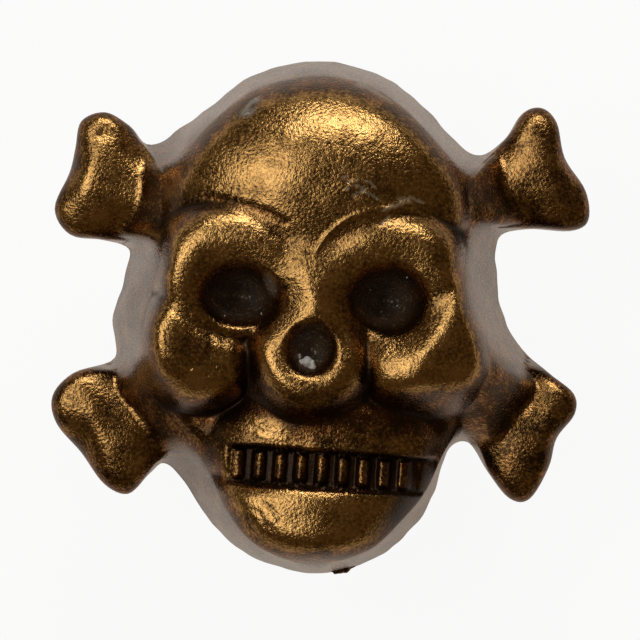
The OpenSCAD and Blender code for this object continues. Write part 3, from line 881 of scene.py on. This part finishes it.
# painted reflection: the sheet glows for reflections only, and the glow seen in the metal fades
# from the first distance to the second
SHEEN, SHEEN_FROM_MM, SHEEN_TO_MM = 0.48, 14, 50
PAPER_WHITE = 0.93
ROOM_LIGHT = 0.08

floor_mesh = bpy.data.meshes.new("floor")
corners = [(-FLOOR_HALF, -FLOOR_HALF, FOOT), (FLOOR_HALF, -FLOOR_HALF, FOOT),
           (FLOOR_HALF, FLOOR_HALF, FOOT), (-FLOOR_HALF, FLOOR_HALF, FOOT)]
floor_mesh.from_pydata(corners, [], [(0, 1, 2, 3)])
floor = bpy.data.objects.new("floor", floor_mesh)
bpy.context.scene.collection.objects.link(floor)
paper = bpy.data.materials.new("white_paper")
paper.use_nodes = True
tree = paper.node_tree
sheet = tree.nodes["Principled BSDF"]
sheet.inputs["Base Color"].default_value = srgb("#f2f2f2")
sheet.inputs["Roughness"].default_value = 0.9
rays = add(tree, "ShaderNodeLightPath")
spot = add(tree, "ShaderNodeVectorMath", {0: add(tree, "ShaderNodeTexCoord").outputs["Object"]},
           operation="LENGTH").outputs["Value"]
near = add(tree, "ShaderNodeMapRange",
           {"Value": spot, "From Min": SHEEN_FROM_MM * MM, "From Max": SHEEN_TO_MM * MM,
            "To Min": SHEEN, "To Max": 0.0}).outputs[0]
# painted reflection: for glossy rays the floor glows, tinted warm and brightest near the rivet
mirror = add(tree, "ShaderNodeMath", {0: rays.outputs["Is Glossy Ray"], 1: near},
             operation="MULTIPLY")
seen = add(tree, "ShaderNodeMath", {0: rays.outputs["Is Camera Ray"], 1: mirror.outputs[0]},
           operation="MAXIMUM")
tint = add(tree, "ShaderNodeMix", {0: rays.outputs["Is Camera Ray"], 6: srgb("#ffeedd"),
                                   7: srgb("#ffffff")}, data_type="RGBA").outputs[2]
glow = add(tree, "ShaderNodeEmission", {"Color": tint, "Strength": 1.0})
share = add(tree, "ShaderNodeMath", {0: seen.outputs[0], 1: PAPER_WHITE}, operation="MULTIPLY")
both = add(tree, "ShaderNodeMixShader", {0: share.outputs[0], 1: sheet.outputs[0],
                                         2: glow.outputs[0]})
tree.links.new(both.outputs[0], tree.nodes["Material Output"].inputs["Surface"])
floor_mesh.materials.append(paper)

world = bpy.data.worlds.new("studio")
bpy.context.scene.world = world
world.use_nodes = True
tree = world.node_tree
rays = add(tree, "ShaderNodeLightPath")
strength = add(tree, "ShaderNodeMapRange", {"Value": rays.outputs["Is Camera Ray"],
                                            "To Min": ROOM_LIGHT, "To Max": 1.0})
tree.links.new(strength.outputs[0], tree.nodes["Background"].inputs["Strength"])
room = add(tree, "ShaderNodeMix", {0: rays.outputs["Is Camera Ray"], 6: srgb("#ffdaa6"),
                                   7: srgb("#ffffff")}, data_type="RGBA").outputs[2]
tree.links.new(room, tree.nodes["Background"].inputs["Color"])


def softbox(name, azimuth, elevation, size, power, distance=0.25):
    """Area lamp that faces the rivet. Degrees, metres and watts."""
    lamp = bpy.data.lights.new(name, "AREA")
    lamp.shape = "RECTANGLE"
    lamp.size, lamp.size_y = size
    lamp.energy = power
    a, e = math.radians(azimuth), math.radians(elevation)
    place = Vector((math.cos(e) * math.cos(a), math.cos(e) * math.sin(a), math.sin(e))) * distance
    holder = bpy.data.objects.new(name, lamp)
    bpy.context.scene.collection.objects.link(holder)
    holder.location = place
    holder.rotation_euler = (-place).to_track_quat("-Z", "Y").to_euler()


softbox("softbox_left", 164, 60, (0.18, 0.14), 0.18)
softbox("softbox_top", 83, 36, (0.15, 0.08), 0.24)

PHOTO_PX, SENSOR_MM = 640, 36
VIEW_MM = PHOTO_PX * UNIT
# the camera's height over the plane that is in scale, and that plane's height
CAMERA_MM, PLANE_MM = 200, 2.8
camera = bpy.data.cameras.new("camera")
camera.sensor_width = SENSOR_MM
camera.lens = CAMERA_MM * SENSOR_MM / VIEW_MM
camera.clip_start = 0.01
camera.clip_end = 10
camera_holder = bpy.data.objects.new("camera", camera)
bpy.context.scene.collection.objects.link(camera_holder)
camera_holder.location = (0, (AXIS_V - PHOTO_PX / 2) * UNIT * MM, (CAMERA_MM + PLANE_MM) * MM)
bpy.context.scene.camera = camera_holder
bpy.context.scene.view_settings.view_transform = "Standard"
